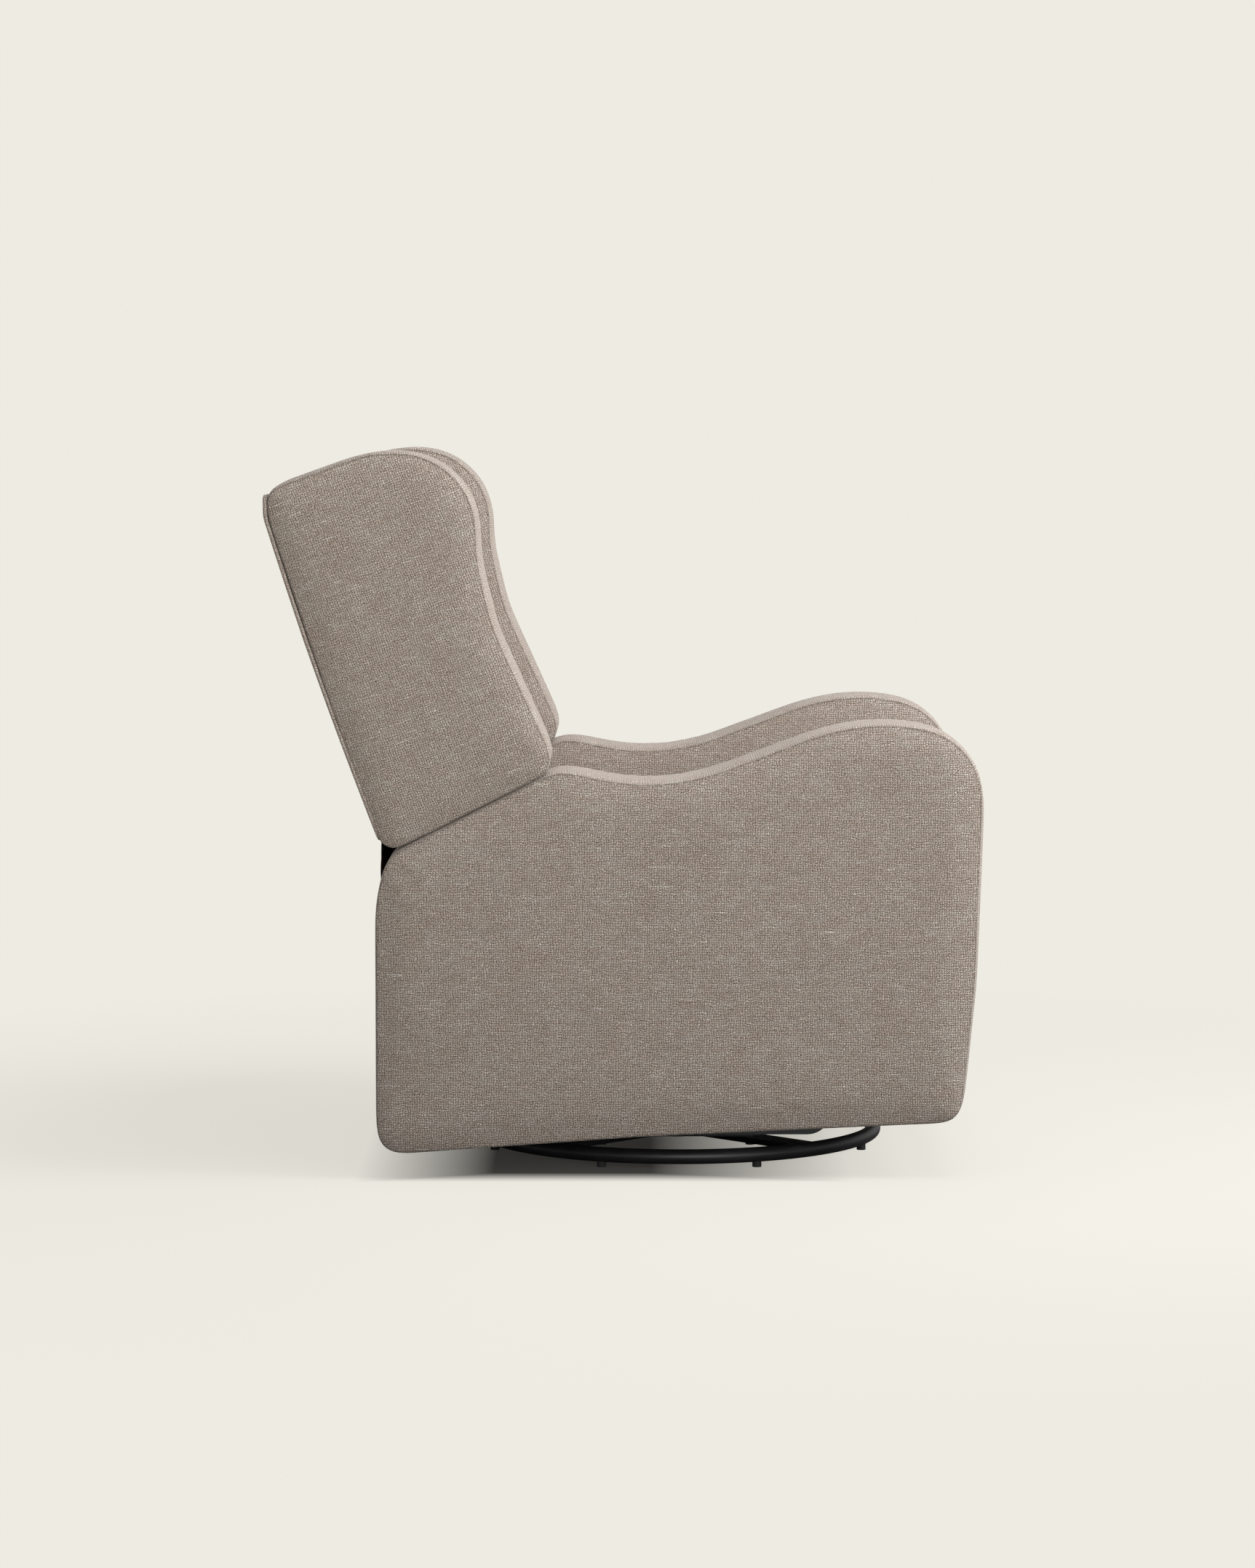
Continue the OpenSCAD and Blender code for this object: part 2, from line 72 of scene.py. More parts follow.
# ---------------------------------------------------------------- materials
class Shader:
    """A material's node tree, built by short calls that add nodes and return what they put out."""

    def __init__(self, name):
        self.material = bpy.data.materials.new(name)
        self.material.use_nodes = True
        self.tree = self.material.node_tree
        self.tree.nodes.clear()
        self.out = self.node("ShaderNodeOutputMaterial")
        self.bsdf = self.node("ShaderNodeBsdfPrincipled")
        self.join(self.bsdf.outputs[0], self.out.inputs["Surface"])

    def node(self, kind, **settings):
        made = self.tree.nodes.new(kind)
        for key, value in settings.items():
            setattr(made, key, value)
        return made

    def join(self, source, target):
        self.tree.links.new(source, target)

    def feed(self, target, value):
        if isinstance(value, bpy.types.NodeSocket):
            self.join(value, target)
        else:
            target.default_value = value

    def math(self, operation, a, b=0.0):
        made = self.node("ShaderNodeMath", operation=operation)
        for socket, value in zip(made.inputs, (a, b)):
            self.feed(socket, value)
        return made.outputs[0]

    def add(self, a, b):
        return self.math("ADD", a, b)

    def times(self, a, b):
        return self.math("MULTIPLY", a, b)

    def around_zero(self, fac, gain):
        """A factor of about 0.5 as gain times its difference from 0.5."""
        return self.times(self.math("SUBTRACT", fac, 0.5), gain)

    def ridges(self, turns):
        """Rounded ridges, one for each unit of turns: 0 in the grooves, 1 on the crests."""
        return self.math("ABSOLUTE", self.math("SINE", self.times(turns, math.pi)))

    def noise(self, vector, scale, detail=2.0, roughness=0.5):
        made = self.node("ShaderNodeTexNoise")
        self.join(vector, made.inputs["Vector"])
        made.inputs["Scale"].default_value = scale
        made.inputs["Detail"].default_value = detail
        made.inputs["Roughness"].default_value = roughness
        return made.outputs["Fac"]

    def scaled(self, vector, scale, turn=0.0):
        made = self.node("ShaderNodeMapping")
        self.join(vector, made.inputs["Vector"])
        made.inputs["Scale"].default_value = scale
        made.inputs["Rotation"].default_value = (0, 0, turn)
        return made.outputs[0]

    def ramp(self, fac, low, high, dark, light):
        made = self.node("ShaderNodeMapRange")
        self.feed(made.inputs["Value"], fac)
        made.inputs["From Min"].default_value = low
        made.inputs["From Max"].default_value = high
        made.inputs["To Min"].default_value = dark
        made.inputs["To Max"].default_value = light
        return made.outputs[0]

    def mix(self, fac, a, b, blend="MIX"):
        made = self.node("ShaderNodeMix", data_type="RGBA", blend_type=blend)
        self.feed(made.inputs[0], fac)
        self.feed(made.inputs[6], a)
        self.feed(made.inputs[7], b)
        return made.outputs[2]

    def bump(self, height, distance, strength=1.0, under=None):
        made = self.node("ShaderNodeBump")
        self.feed(made.inputs["Height"], height)
        made.inputs["Distance"].default_value = distance
        made.inputs["Strength"].default_value = strength
        if under is not None:
            self.join(under, made.inputs["Normal"])
        return made.outputs[0]

    def grey(self, value):
        made = self.node("ShaderNodeCombineColor")
        for socket in made.inputs:
            self.feed(socket, value)
        return made.outputs[0]

    def position(self):
        return self.node("ShaderNodeTexCoord").outputs["Object"]

    def uv(self, name):
        return self.node("ShaderNodeUVMap", uv_map=name).outputs[0]

    def value(self, name):
        return self.node("ShaderNodeAttribute", attribute_name=name).outputs["Fac"]

    def split(self, vector):
        """The first two components of a vector."""
        made = self.node("ShaderNodeSeparateXYZ")
        self.join(vector, made.inputs[0])
        return made.outputs[0], made.outputs[1]


def woven_fabric():
    """Taupe plain weave: twisted yarns with browner pits between them, painted darker as shade, slubs, cloudy
    grey and brown patches.
    """
    pitch = 3.3 * MM
    s = Shader("woven_fabric")
    uv = s.uv("weave")
    u, v = s.split(uv)

    # Yarns, counted across and along, which wander a little
    drift = s.around_zero(s.noise(uv, 70.0), 1.9)
    sway = s.around_zero(s.noise(s.scaled(uv, (1, 1, 1), 0.7), 90.0), 1.9)
    a = s.add(s.times(u, 1 / pitch), drift)
    b = s.add(s.times(v, 1 / pitch), sway)
    column, row = s.math("FLOOR", a), s.math("FLOOR", b)
    warp, weft = s.ridges(a), s.ridges(b)

    # Warp and weft on top by turns, like a chequerboard
    over = s.math("PINGPONG", s.add(column, row), 1.0)
    warp_on_top = s.times(s.math("POWER", warp, 0.6), s.add(0.35, s.times(weft, 0.65)))
    weft_on_top = s.times(s.math("POWER", weft, 0.6), s.add(0.35, s.times(warp, 0.65)))
    height = s.add(s.times(warp_on_top, over), s.times(weft_on_top, s.math("SUBTRACT", 1.0, over)))

    # The yarns' twist and fibres, for the shade of each point: painted shade in the pits between the yarns,
    # which are also browner, and crests painted lighter
    twist = s.math("SINE", s.times(s.add(a, b), 2 * math.pi))
    ply = s.add(s.times(height, 0.5), s.times(twist, 0.16))
    fibre = s.around_zero(s.noise(uv, 560.0, 1.0), 1.5)
    raised = s.ramp(s.add(ply, fibre), -0.15, 0.75, 0.0, 1.0)
    depth = s.mix(raised, (0.34, 0.285, 0.24, 1), (1.5, 1.54, 1.58, 1))

    # A shade of its own for each crossing, painted glints, and painted shade in the seam grooves
    crossing = s.node("ShaderNodeCombineXYZ")
    s.join(column, crossing.inputs[0])
    s.join(row, crossing.inputs[1])
    yarn = s.node("ShaderNodeTexWhiteNoise", noise_dimensions="2D")
    s.join(crossing.outputs[0], yarn.inputs["Vector"])
    lot = s.ramp(yarn.outputs["Value"], 0.0, 1.0, 0.88, 1.1)
    glint = s.ramp(s.noise(uv, 300.0, 1.0), 0.62, 0.74, 1.0, 1.3)
    # Painted shade in the seam grooves
    seam = s.ramp(s.value("seam_distance"), 0.2 * MM, 2.4 * MM, 0.68, 1.0)
    shade = s.times(s.times(lot, glint), seam)

    # Colour: fine flecks, grey patches, broad brown patches, and pale slubs along the yarns
    fleck = s.noise(uv, 420.0, 2.0, 0.7)
    patches = s.noise(s.scaled(uv, (34, 80, 1)), 1.0, 4.0, 0.65)
    broad = s.noise(uv, 15.0, 3.0)
    weft_slub = s.ramp(s.noise(s.scaled(uv, (22, 300, 1)), 1.0, 1.0), 0.64, 0.78, 0.0, 0.62)
    warp_slub = s.ramp(s.noise(s.scaled(uv, (320, 20, 1)), 1.0, 1.0), 0.68, 0.82, 0.0, 0.3)
    colour = s.mix(s.ramp(fleck, 0.33, 0.67, 0.0, 1.0), (0.222, 0.176, 0.145, 1), (0.338, 0.294, 0.259, 1))
    colour = s.mix(s.ramp(patches, 0.42, 0.66, 0.0, 0.6), colour, (0.325, 0.300, 0.268, 1))
    colour = s.mix(s.ramp(broad, 0.42, 0.68, 0.0, 0.26), colour, (0.245, 0.190, 0.153, 1))
    colour = s.mix(s.add(weft_slub, warp_slub), colour, (0.46, 0.43, 0.395, 1))
    # Painted shade in the pits and lighter crests, then each crossing's tone, painted glints and painted seam
    # shade
    colour = s.mix(1.0, colour, depth, "MULTIPLY")
    s.join(s.mix(1.0, colour, s.grey(shade), "MULTIPLY"), s.bsdf.inputs["Base Color"])
    s.bsdf.inputs["Roughness"].default_value = 0.9
    s.bsdf.inputs["Specular IOR Level"].default_value = 0.22
    s.bsdf.inputs["Sheen Weight"].default_value = 0.3
    s.bsdf.inputs["Sheen Roughness"].default_value = 0.45
    s.bsdf.inputs["Sheen Tint"].default_value = (0.95, 0.9, 0.85, 1)
    loose = s.bump(s.noise(uv, 60.0), 1.0 * MM, 0.3)
    s.join(s.bump(height, 0.9 * MM, 0.8, loose), s.bsdf.inputs["Normal"])
    return s.material


def painted_steel(name, colour, rough, wear):
    """Powder coat: fine orange peel, slightly polished or dusty patches."""
    s = Shader(name)
    p = s.position()
    patches = s.noise(p, 14.0, 3.0)
    tint = s.ramp(patches, 0.35, 0.7, 0.85, 1.0 + wear)
    s.join(s.mix(1.0, (*colour, 1), s.grey(tint), "MULTIPLY"), s.bsdf.inputs["Base Color"])
    s.join(s.ramp(patches, 0.3, 0.7, rough - 0.05, rough + 0.08), s.bsdf.inputs["Roughness"])
    s.bsdf.inputs["Specular IOR Level"].default_value = 0.5
    s.join(s.bump(s.noise(p, 900.0, 2.0), 0.12 * MM, 0.5), s.bsdf.inputs["Normal"])
    return s.material


def bare_steel(name, colour, rough):
    """Zinc-plated or ground steel: fine directional scratches and cloudy patches."""
    s = Shader(name)
    p = s.position()
    cloud = s.noise(p, 40.0, 3.0)
    s.join(s.mix(s.ramp(cloud, 0.3, 0.7, 0.0, 1.0), (*[c * 0.75 for c in colour], 1), (*colour, 1)),
           s.bsdf.inputs["Base Color"])
    s.bsdf.inputs["Metallic"].default_value = 1.0
    s.join(s.ramp(cloud, 0.3, 0.7, rough - 0.08, rough + 0.1), s.bsdf.inputs["Roughness"])
    s.join(s.bump(s.noise(s.scaled(p, (60, 900, 900)), 1.0, 2.0), 0.08 * MM, 0.4), s.bsdf.inputs["Normal"])
    return s.material


def timber():
    """Sawn frame timber: growth rings stretched along the board, and a rough surface."""
    s = Shader("timber")
    p = s.position()
    warp = s.noise(s.scaled(p, (14, 3, 14)), 1.0, 3.0)
    grain = s.noise(s.scaled(p, (30, 2, 30)), 1.0)
    rings = s.math("SINE", s.times(s.add(warp, grain), 34.0))
    s.join(s.mix(s.ramp(rings, -1.0, 1.0, 0.0, 1.0), (0.46, 0.30, 0.16, 1), (0.66, 0.49, 0.31, 1)),
           s.bsdf.inputs["Base Color"])
    s.bsdf.inputs["Roughness"].default_value = 0.75
    s.join(s.bump(s.noise(s.scaled(p, (400, 30, 400)), 1.0, 3.0), 0.3 * MM, 0.5), s.bsdf.inputs["Normal"])
    return s.material


def soft_plain(name, colour, grain):
    """Felt or matt plastic: one colour family with a fibrous or moulded grain."""
    s = Shader(name)
    p = s.position()
    fibre = s.noise(p, grain, 4.0, 0.7)
    dark, light = (*[c * 0.6 for c in colour], 1), (*[c * 1.3 for c in colour], 1)
    s.join(s.mix(s.ramp(fibre, 0.3, 0.7, 0.0, 1.0), dark, light), s.bsdf.inputs["Base Color"])
    s.bsdf.inputs["Roughness"].default_value = 0.85
    s.join(s.bump(fibre, 0.4 * MM, 0.6), s.bsdf.inputs["Normal"])
    return s.material


def webbing():
    """Polyester webbing: fine ribs along the strap crossed by the weft, and a slight sheen."""
    s = Shader("webbing")
    u, v = s.split(s.uv("weave"))
    rib, weft = s.ridges(s.times(u, 1 / (1.2 * MM))), s.ridges(s.times(v, 1 / (1.6 * MM)))
    height = s.add(s.times(rib, 0.7), s.times(weft, 0.3))
    # Grooves between the ribs painted darker as shade, crests lighter
    s.join(s.mix(height, (0.06, 0.05, 0.043, 1), (0.17, 0.147, 0.127, 1)), s.bsdf.inputs["Base Color"])
    s.bsdf.inputs["Roughness"].default_value = 0.7
    s.bsdf.inputs["Sheen Weight"].default_value = 0.25
    s.join(s.bump(height, 0.4 * MM, 0.8), s.bsdf.inputs["Normal"])
    return s.material


materials = {
    "woven_fabric": woven_fabric(),
    "black_steel": painted_steel("black_steel", (0.012, 0.012, 0.013), 0.42, 0.6),
    "grey_steel": painted_steel("grey_steel", (0.036, 0.038, 0.043), 0.5, 0.4),
    "zinc_steel": bare_steel("zinc_steel", (0.62, 0.62, 0.6), 0.38),
    "bearing_steel": bare_steel("bearing_steel", (0.55, 0.56, 0.58), 0.25),
    "spring_steel": bare_steel("spring_steel", (0.3, 0.3, 0.31), 0.35),
    "timber": timber(),
    "nylon": soft_plain("nylon", (0.02, 0.02, 0.02), 700.0),
    "felt": soft_plain("felt", (0.03, 0.03, 0.033), 500.0),
    "webbing": webbing(),
}
slot_of = {part["node"]: part["material_slot"] for part in frame["record"]["subparts"]}


# ---------------------------------------------------------------- sewn panels
def outline_of(node):
    """Side outline of a prismatic CAD node, as (y, z) points in order: the edge loop of its end face."""
    mesh = nodes[node].data
    points = np.array([v.co for v in mesh.vertices])
    end = points[:, 0].max()
    keys = [tuple(np.round(p[1:], 5)) for p in points]
    count = {}
    for face in mesh.polygons:
        if all(abs(points[i, 0] - end) < 1e-5 for i in face.vertices):
            ring = [keys[i] for i in face.vertices]
            for a, b in zip(ring, ring[1:] + ring[:1]):
                edge = frozenset((a, b))
                if len(edge) == 2:
                    count[edge] = count.get(edge, 0) + 1
    follow = {}
    for edge, times in count.items():
        if times == 1:
            a, b = edge
            follow.setdefault(a, []).append(b)
            follow.setdefault(b, []).append(a)
    start = min(follow)
    loop = [start]
    while True:
        here = [p for p in follow[loop[-1]] if p not in loop]
        if not here:
            break
        loop.append(here[0])
    return np.array(loop)


def resample(loop, step):
    """Closed loop as evenly spaced points, turning counter-clockwise."""
    ahead = np.roll(loop, -1, 0)
    if (loop[:, 0] * ahead[:, 1] - ahead[:, 0] * loop[:, 1]).sum() < 0:
        loop = loop[::-1]
    closed = np.vstack([loop, loop[:1]])
    run = np.concatenate([[0], np.cumsum(np.linalg.norm(np.diff(closed, axis=0), axis=1))])
    places = np.linspace(0, run[-1], max(8, int(round(run[-1] / step))), endpoint=False)
    return np.stack([np.interp(places, run, closed[:, i]) for i in range(2)], 1)


def smoothed(loop, rounds):
    """Closed loop with its corners rounded a little more by each round."""
    for _ in range(rounds):
        loop = 0.5 * loop + 0.25 * (np.roll(loop, 1, 0) + np.roll(loop, -1, 0))
    return loop


def inside(points, loop):
    """Which points are inside the closed loop: those with an odd number of crossings to one side."""
    x, y = points[:, 0][:, None], points[:, 1][:, None]
    x0, y0 = loop[:, 0], loop[:, 1]
    x1, y1 = np.roll(x0, -1), np.roll(y0, -1)
    with np.errstate(divide="ignore", invalid="ignore"):
        cross = ((y0 > y) != (y1 > y)) & (x < (x1 - x0) * (y - y0) / (y1 - y0) + x0)
    return cross.sum(1) % 2 == 1


def edge_distance(points, loop):
    """Distance of each point from the closed loop."""
    best = np.full(len(points), 1e9)
    for a, b in zip(loop, np.roll(loop, -1, 0)):
        d = b - a
        t = np.clip(((points - a) @ d) / max(d @ d, 1e-12), 0, 1)
        best = np.minimum(best, np.linalg.norm(points - a - t[:, None] * d, axis=1))
    return best


def filled(loop, lip):
    """Triangles over the loop's inside. The points are the loop's, then the lip's, then an even lattice."""
    low, high = loop.min(0), loop.max(0)
    lattice = []
    for j, y in enumerate(np.arange(low[1], high[1], PANEL_STEP * 0.87)):
        xs = np.arange(low[0] + (j % 2) * PANEL_STEP / 2, high[0], PANEL_STEP)
        lattice.append(np.stack([xs, np.full_like(xs, y)], 1))
    lattice = np.vstack(lattice)
    lattice = lattice[inside(lattice, lip)]
    lattice = lattice[edge_distance(lattice, lip) > PANEL_STEP * 0.55]
    n = len(loop)
    points = [Vector(p) for p in np.vstack([loop, lip, lattice])]
    edges = [(i, (i + 1) % n) for i in range(n)] + [(n + i, n + (i + 1) % n) for i in range(n)]
    verts, _, faces, *_ = geometry.delaunay_2d_cdt(points, edges, [], 1, 1e-7)
    return np.array([tuple(v) for v in verts]), [tuple(f) for f in faces]


def make_object(name, verts, faces):
    """A smooth-shaded mesh object in the scene."""
    mesh = bpy.data.meshes.new(name)
    mesh.from_pydata([tuple(v) for v in verts], [], [tuple(int(i) for i in f) for f in faces])
    mesh.validate()
    mesh.update()
    for polygon in mesh.polygons:
        polygon.use_smooth = True
    made = bpy.data.objects.new(name, mesh)
    bpy.context.scene.collection.objects.link(made)
    return made


def offset_in(loop, inset):
    """The loop moved inwards by inset, with its outward normals."""
    tangent = np.roll(loop, -1, 0) - np.roll(loop, 1, 0)
    tangent /= np.linalg.norm(tangent, axis=1)[:, None]
    outward = np.stack([tangent[:, 1], -tangent[:, 0]], 1)
    return loop - inset * outward, outward


def strip_rows(width):
    """Distances of a boxing strip's rows from its first seam: one row GROOVE from each seam, others even."""
    count = max(2, int(round(width / PANEL_STEP)))
    return [0.0, GROOVE] + [width * k / count for k in range(1, count)] + [width - GROOVE, width]


def sewn(name, loop, near, far, place, face_crown=4 * MM, face_reach=32 * MM, band_crown=5 * MM,
         seam_dip=2 * MM, turn=0.0, swell_at=None, seam_shaded=True):
    """A boxed cushion: two panels with the same outline, joined by a boxing strip.

    loop is the seam outline in the panel's plane; near and far are the depths of the two seam loops, and
    place(a, b, depth) puts a point in the chair. Panels and strip bulge from the seams, which lie in a groove
    a few millimetres wide. swell_at(outward) scales the strip's bulge by the way that it faces, and turn is
    the angle of the panels' weave.
    """
    # Painted shade in the seam grooves is left out where the seams don't show
    n = len(loop)
    lip, outward = offset_in(loop, GROOVE)
    flat, tris = filled(loop, lip)
    distance = edge_distance(flat, loop)
    groove = seam_dip * np.exp(-(distance / (0.6 * GROOVE)) ** 2)
    bulge = face_crown * (1 - np.exp(-distance / face_reach)) - groove
    run = np.concatenate([[0], np.cumsum(np.linalg.norm(np.diff(loop, axis=0), axis=1))])
    around = run[-1] + np.linalg.norm(loop[0] - loop[-1])
    sign = 1 if far > near else -1
    width = abs(far - near)
    rows = strip_rows(width)
    factor = np.ones(n) if swell_at is None else np.array([swell_at(o) for o in outward])

    # Points of the two panels, then of the strip's rows between the seams
    verts, seam = [], []
    for depth, outside in ((near, -sign), (far, sign)):
        for (a, b), out, d in zip(flat, bulge, distance):
            rough = face_wave(a, b, depth) * min(1.0, d / (30 * MM))
            verts.append(place(a, b, depth + outside * (out + rough)))
            seam.append(d)
    base, count, last = len(verts), len(flat), len(rows) - 1
    for row in rows[1:-1]:
        edge = min(row, width - row)
        swell = (1 - math.exp(-edge / (5 * MM))) * band_crown
        for i in range(n):
            rough = 0.5 * face_wave(run[i], row, 5.0 + near) * min(1.0, edge / (20 * MM))
            a, b = loop[i] + outward[i] * (swell * factor[i] + rough)
            verts.append(place(a, b, near + sign * row))
            seam.append(edge)

    # Faces, each with its corners' weave coordinates
    faces, corner_uvs = [], []
    c, s = math.cos(turn), math.sin(turn)
    for tri in tris:
        for face, offset in ((tuple(i + count for i in tri), count), (tuple(reversed(tri)), 0)):
            face = face if sign > 0 else tuple(reversed(face))
            corners = [flat[i - offset] for i in face]
            faces.append(face)
            corner_uvs.append([(a * c + b * s, b * c - a * s) for a, b in corners])

    def band(k, i):
        start = 0 if k == 0 else count if k == last else base + (k - 1) * n
        return start + i % n

    for k in range(last):
        for i in range(n):
            face = [band(k, i), band(k, i + 1), band(k + 1, i + 1), band(k + 1, i)]
            end = run[i + 1] if i + 1 < n else around
            uv = [(run[i], rows[k]), (end, rows[k]), (end, rows[k + 1]), (run[i], rows[k + 1])]
            if sign < 0:
                face.reverse()
                uv.reverse()
            faces.append(tuple(face))
            corner_uvs.append(uv)
    made = make_object(name, verts, faces)
    # Seam distances paint shade in the seam grooves; 1.0 everywhere paints none
    finish_cloth(made, corner_uvs, seam if seam_shaded else [1.0] * len(seam))
    pins = made.vertex_groups.new(name="seam")
    pins.add(list(range(n)) + list(range(count, count + n)), 1.0, "ADD")
    return made


def finish_cloth(made, corner_uvs, seam):
    """Weave coordinates in metres, the distance to the nearest seam for the painted shade in the seam
    grooves, and the fabric material.
    """
    layer = made.data.uv_layers.new(name="weave")
    values = [c for face in corner_uvs for uv in face for c in uv]
    if len(values) != 2 * len(layer.data):
        raise ValueError(f"{made.name}: {len(values) // 2} corners for {len(layer.data)} loops")
    layer.data.foreach_set("uv", values)
    attribute = made.data.attributes.new("seam_distance", "FLOAT", "POINT")
    attribute.data.foreach_set("value", [float(v) for v in seam])
    made.data.materials.append(materials["woven_fabric"])


def face_wave(a, b, seed):
    """Slow unevenness of fabric over wadding, in metres."""
    p = Vector((a * 6.0, b * 6.0, seed * 37.0))
    q = Vector((a * 17.0, b * 17.0, seed * 11.0 + 3.0))
    return 1.3 * MM * noise.noise(p) + 0.5 * MM * noise.noise(q)


def across(a, b, depth):
    """Places a side outline's (y, z) at x = depth."""
    return (depth, a, b)


def mirror_piece(piece, name):
    """The same piece on the other side of the chair."""
    data = piece.data.copy()
    data.name = name
    other = bpy.data.objects.new(name, data)
    bpy.context.scene.collection.objects.link(other)
    for vertex in data.vertices:
        vertex.co.x = -vertex.co.x
    data.flip_normals()
    return other


def inflated(piece, cap, sideways=1.0, pressure=4.0, frames=20):
    """Swells the piece as sewn cloth under pressure, seams held, and keeps at most cap of each point's move.

    sideways scales the move across the chair, for panels that lie against the arms.
    """
    before = np.array([v.co for v in piece.data.vertices])
    cloth = piece.modifiers.new("cloth", "CLOTH")
    cloth.settings.quality = 4
    cloth.settings.mass = 0.4
    cloth.settings.tension_stiffness = 25
    cloth.settings.compression_stiffness = 12
    cloth.settings.shear_stiffness = 12
    cloth.settings.bending_stiffness = 1.0
    cloth.settings.use_pressure = True
    cloth.settings.uniform_pressure_force = pressure
    cloth.settings.effector_weights.gravity = 0
    cloth.settings.vertex_group_mass = "seam"
    cloth.collision_settings.use_collision = False
    cloth.point_cache.frame_start = 1
    cloth.point_cache.frame_end = frames
    scene = bpy.context.scene
    for frame_number in range(1, frames + 1):
        scene.frame_set(frame_number)
    swollen = piece.evaluated_get(bpy.context.evaluated_depsgraph_get()).data
    after = np.array([v.co for v in swollen.vertices])
    piece.modifiers.remove(cloth)
    scene.frame_set(1)
    move = after - before
    far = np.linalg.norm(move, axis=1)
    move *= (cap * np.tanh(far / cap) / np.maximum(far, 1e-9))[:, None]
    move[:, 0] *= sideways
    piece.data.vertices.foreach_set("co", (before + move).ravel())
    piece.data.update()


def upholster(piece, body, node):
    """Attaches a cushion to its body and hides the CAD node that it covers."""
    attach(piece, body)
    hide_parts(node)


# ---------------------------------------------------------------- the chair's covers
def facing_up(outward):
    """The strip stands proud where it faces up or forward, and lies flat behind and below."""
    return 0.2 + 0.8 * min(1.0, max(0.0, 0.9 * outward[1] - 0.55 * outward[0] + 0.1))


def arms():
    low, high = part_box("arm_left")
    loop = smoothed(resample(outline_of("arm_left"), SEAM_STEP), 10)
    arm = sewn("arm_cover_left", loop, high[0] - SEAM_INSET, low[0] + SEAM_INSET, across, swell_at=facing_up)
    inflated(arm, 2 * MM)
    upholster(mirror_piece(arm, "arm_cover_right"), "chair_body", "arm_right")
    upholster(arm, "chair_body", "arm_left")


def back_y(z):
    """Y of the back's rear face at height z: straight up to a knee near the top, then nearly upright."""
    knee = BACK_TOP[2] - 32 * MM
    lean_above = 0.06
    return BACK_TOP[1] - 2 * MM - BACK_LEAN * (knee - min(z, knee)) + lean_above * max(0.0, z - knee)


def bowed(loop):
    """The back's rear edge, bowed out a little between its ends."""
    low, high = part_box("outer_back")
    out = loop.copy()
    rise = np.clip((loop[:, 1] - low[2]) / (high[2] - low[2]), 0, 1)
    ahead = loop[:, 0] - np.array([back_y(z) for z in loop[:, 1]])
    out[:, 0] += BACK_BOW * np.sin(math.pi * rise) * np.clip(1.2 + ahead / (60 * MM), 0, 1)
    return out


def wings():
    """The wings' lower edges come down close over the arms' sloping tops."""
    low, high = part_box("wing_left")
    loop = bowed(smoothed(resample(outline_of("wing_left"), SEAM_STEP), 6))
    _, outward = offset_in(loop, 0)
    under = np.array([-math.sin(ARM_SLOPE), -math.cos(ARM_SLOPE)])
    faces_arm = np.clip(4 * (outward @ under) - 3, 0, 1)
    loop += 4 * MM * under * faces_arm[:, None]
    wing = sewn("wing_cover_left", loop, high[0] - SEAM_INSET, low[0] + SEAM_INSET, across,
                turn=-math.atan(BACK_LEAN), swell_at=facing_up)
    inflated(wing, 2 * MM)
    upholster(mirror_piece(wing, "wing_cover_right"), "backrest", "wing_right")
    upholster(wing, "backrest", "wing_left")


def side_cushion(name, node, body, rounds=6, cap=0.0, inset=0.0, reach=0.0, **shape):
    """A cushion whose CAD solid is a side outline extruded across the chair.

    inset narrows it at both sides, and reach draws out its rear end.
    """
    low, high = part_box(node)
    loop = smoothed(resample(outline_of(node), SEAM_STEP), rounds)
    rear_end = np.clip((loop[:, 0] - high[1]) / (20 * MM) + 1, 0, 1)
    loop[:, 0] += reach * rear_end
    made = sewn(name, loop, high[0] - inset, low[0] + inset, across, **shape)
    if cap:
        inflated(made, cap, sideways=0.1)
    upholster(made, body, node)


def cushions():
    side_cushion("seat_cushion_cover", "seat_cushion", "chair_body", cap=8 * MM, band_crown=7 * MM,
                 face_crown=0)
    side_cushion("inside_back_cover", "back_cushion", "backrest", cap=8 * MM, inset=4 * MM, reach=7 * MM,
                 band_crown=6 * MM, face_crown=0)
    side_cushion("footrest_cover", "footrest_pad", "ottoman", cap=5 * MM, band_crown=5 * MM,
                 face_crown=2 * MM)
    side_cushion("front_border_cover", "seat_front_border", "chair_body", rounds=0, band_crown=1 * MM,
                 face_crown=0)
    side_cushion("rear_panel_cover", "rear_panel", "chair_body", rounds=0, band_crown=2 * MM, face_crown=0)


def outer_back():
    """Upper panel of the outer back, crowned to the rear. The gusset stands where the CAD has its tail."""
    _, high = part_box("outer_back")
    half, top = high[0] - SEAM_INSET, high[2] - SEAM_INSET
    outline = np.array([(-half, top), (-half, BACK_WAIST), (half, BACK_WAIST), (half, top)])
    loop = smoothed(resample(outline, SEAM_STEP), 3)

    def place(a, b, depth):
        rise = min(1.0, max(0.0, (b - BACK_WAIST) / (top - BACK_WAIST)))
        return (a, back_y(b) + depth + BACK_BOW * math.sin(math.pi * rise), b)

    made = sewn("outer_back_cover", loop, -6.5 * MM, -1 * MM, place, face_crown=6 * MM, face_reach=60 * MM,
                band_crown=0.5 * MM, seam_dip=0.5 * MM, seam_shaded=False)
    upholster(made, "backrest", "outer_back")


